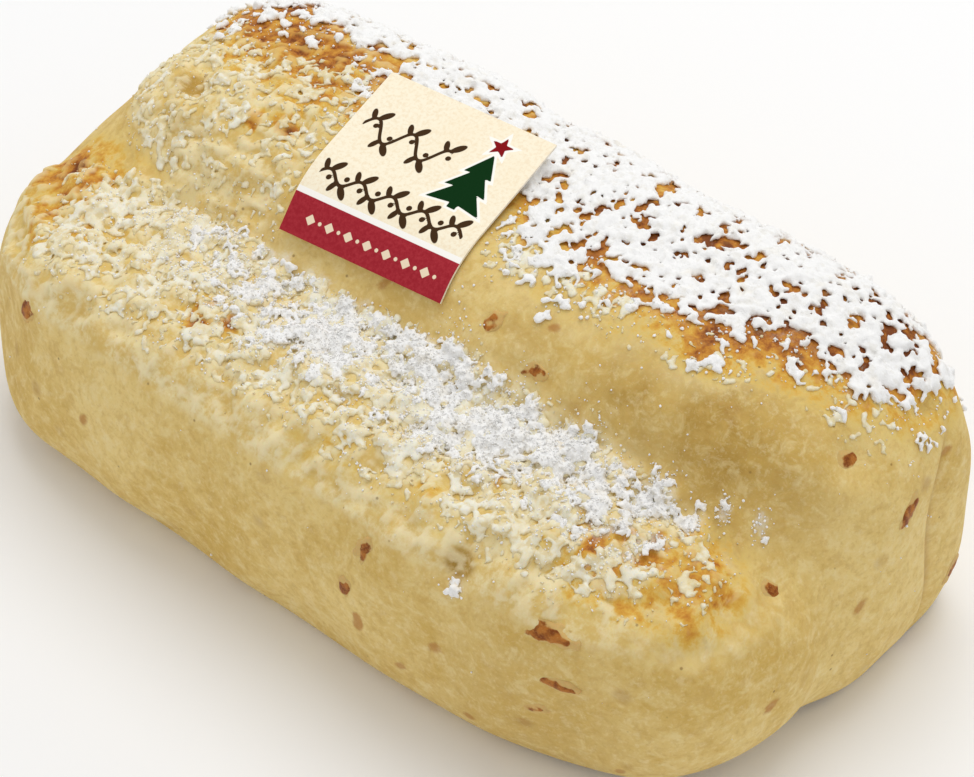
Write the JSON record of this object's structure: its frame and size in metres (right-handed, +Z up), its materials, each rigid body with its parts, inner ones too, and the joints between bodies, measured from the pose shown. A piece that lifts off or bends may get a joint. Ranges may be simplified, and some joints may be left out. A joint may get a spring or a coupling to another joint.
{
  "type": "stollen",
  "caption": "Whole stollen: a folded sweet loaf with a low lip, a tall hump and a crease between them, sultanas in its crust, caked icing sugar and a square paper label on top.",
  "frame": {"origin": "middle of the footprint box, on the surface the loaf stands on", "axes": "+X along the loaf, -Y towards the low lip at the front, +Z up"},
  "size_m": [0.1974, 0.1055, 0.0751],
  "materials": {
    "dough": "baked sweet dough: pale cream walls, golden to brown crust on top, slightly satin",
    "icing_sugar": "caked and powdered icing sugar, matte white",
    "sultana": "soaked sultana, wrinkled, slightly glossy skin",
    "label_paper": "speckled cream label paper with printed fields of colour, matte"
  },
  "bodies": {
    "root": {"loaf": "dough", "label": "label_paper", "sultana_01": "sultana", "sultana_02": "sultana", "sultana_03": "sultana", "sultana_04": "sultana", "sultana_05": "sultana", "sultana_06": "sultana", "sultana_07": "sultana", "sultana_08": "sultana", "sultana_09": "sultana", "sultana_10": "sultana", "sultana_11": "sultana", "sultana_12": "sultana", "sultana_13": "sultana", "sultana_14": "sultana", "sultana_15": "sultana", "sultana_16": "sultana", "sultana_17": "sultana"}
  },
  "joints": []
}
